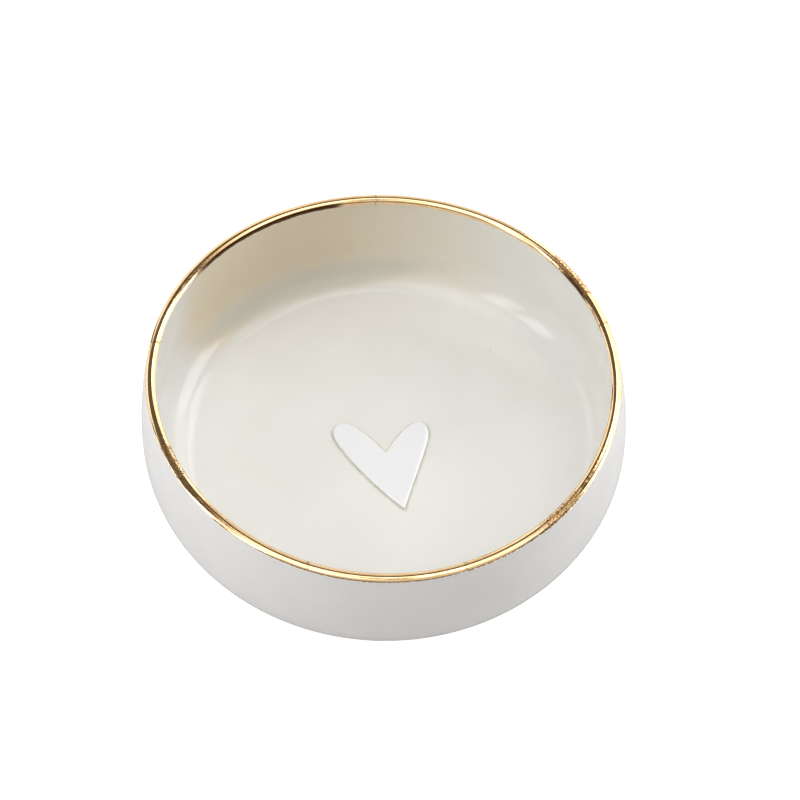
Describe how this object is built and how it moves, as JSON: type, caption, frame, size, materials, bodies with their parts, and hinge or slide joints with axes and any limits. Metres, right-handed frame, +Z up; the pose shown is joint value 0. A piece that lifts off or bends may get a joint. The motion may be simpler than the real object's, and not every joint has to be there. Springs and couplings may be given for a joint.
{
  "type": "round trinket dish",
  "caption": "Shallow round ceramic trinket dish with a bellied wall, gilded lip, cream glazed inside and a raised white heart on the floor.",
  "frame": {"origin": "centre of the foot's resting face, on the surface that the dish stands on", "axes": "+Z up through the middle of the dish; -Y is the side that the heart's tip points to; +X to the right of someone who sees the heart upright"},
  "size_m": [0.1146, 0.1146, 0.0362],
  "materials": {
    "bare_clay": "matt unglazed fired clay",
    "white_glaze": "glossy white glaze",
    "cream_glaze": "glossy pale grey-cream glaze",
    "gold_lustre": "polished gold lustre, painted by hand",
    "white_enamel": "glossy raised white enamel"
  },
  "bodies": {
    "root": {"clay_body": "bare_clay", "outer_glaze": "white_glaze", "inner_glaze": "cream_glaze", "base_glaze": "white_glaze", "gold_rim_band": "gold_lustre", "raised_heart": "white_enamel"}
  },
  "joints": []
}
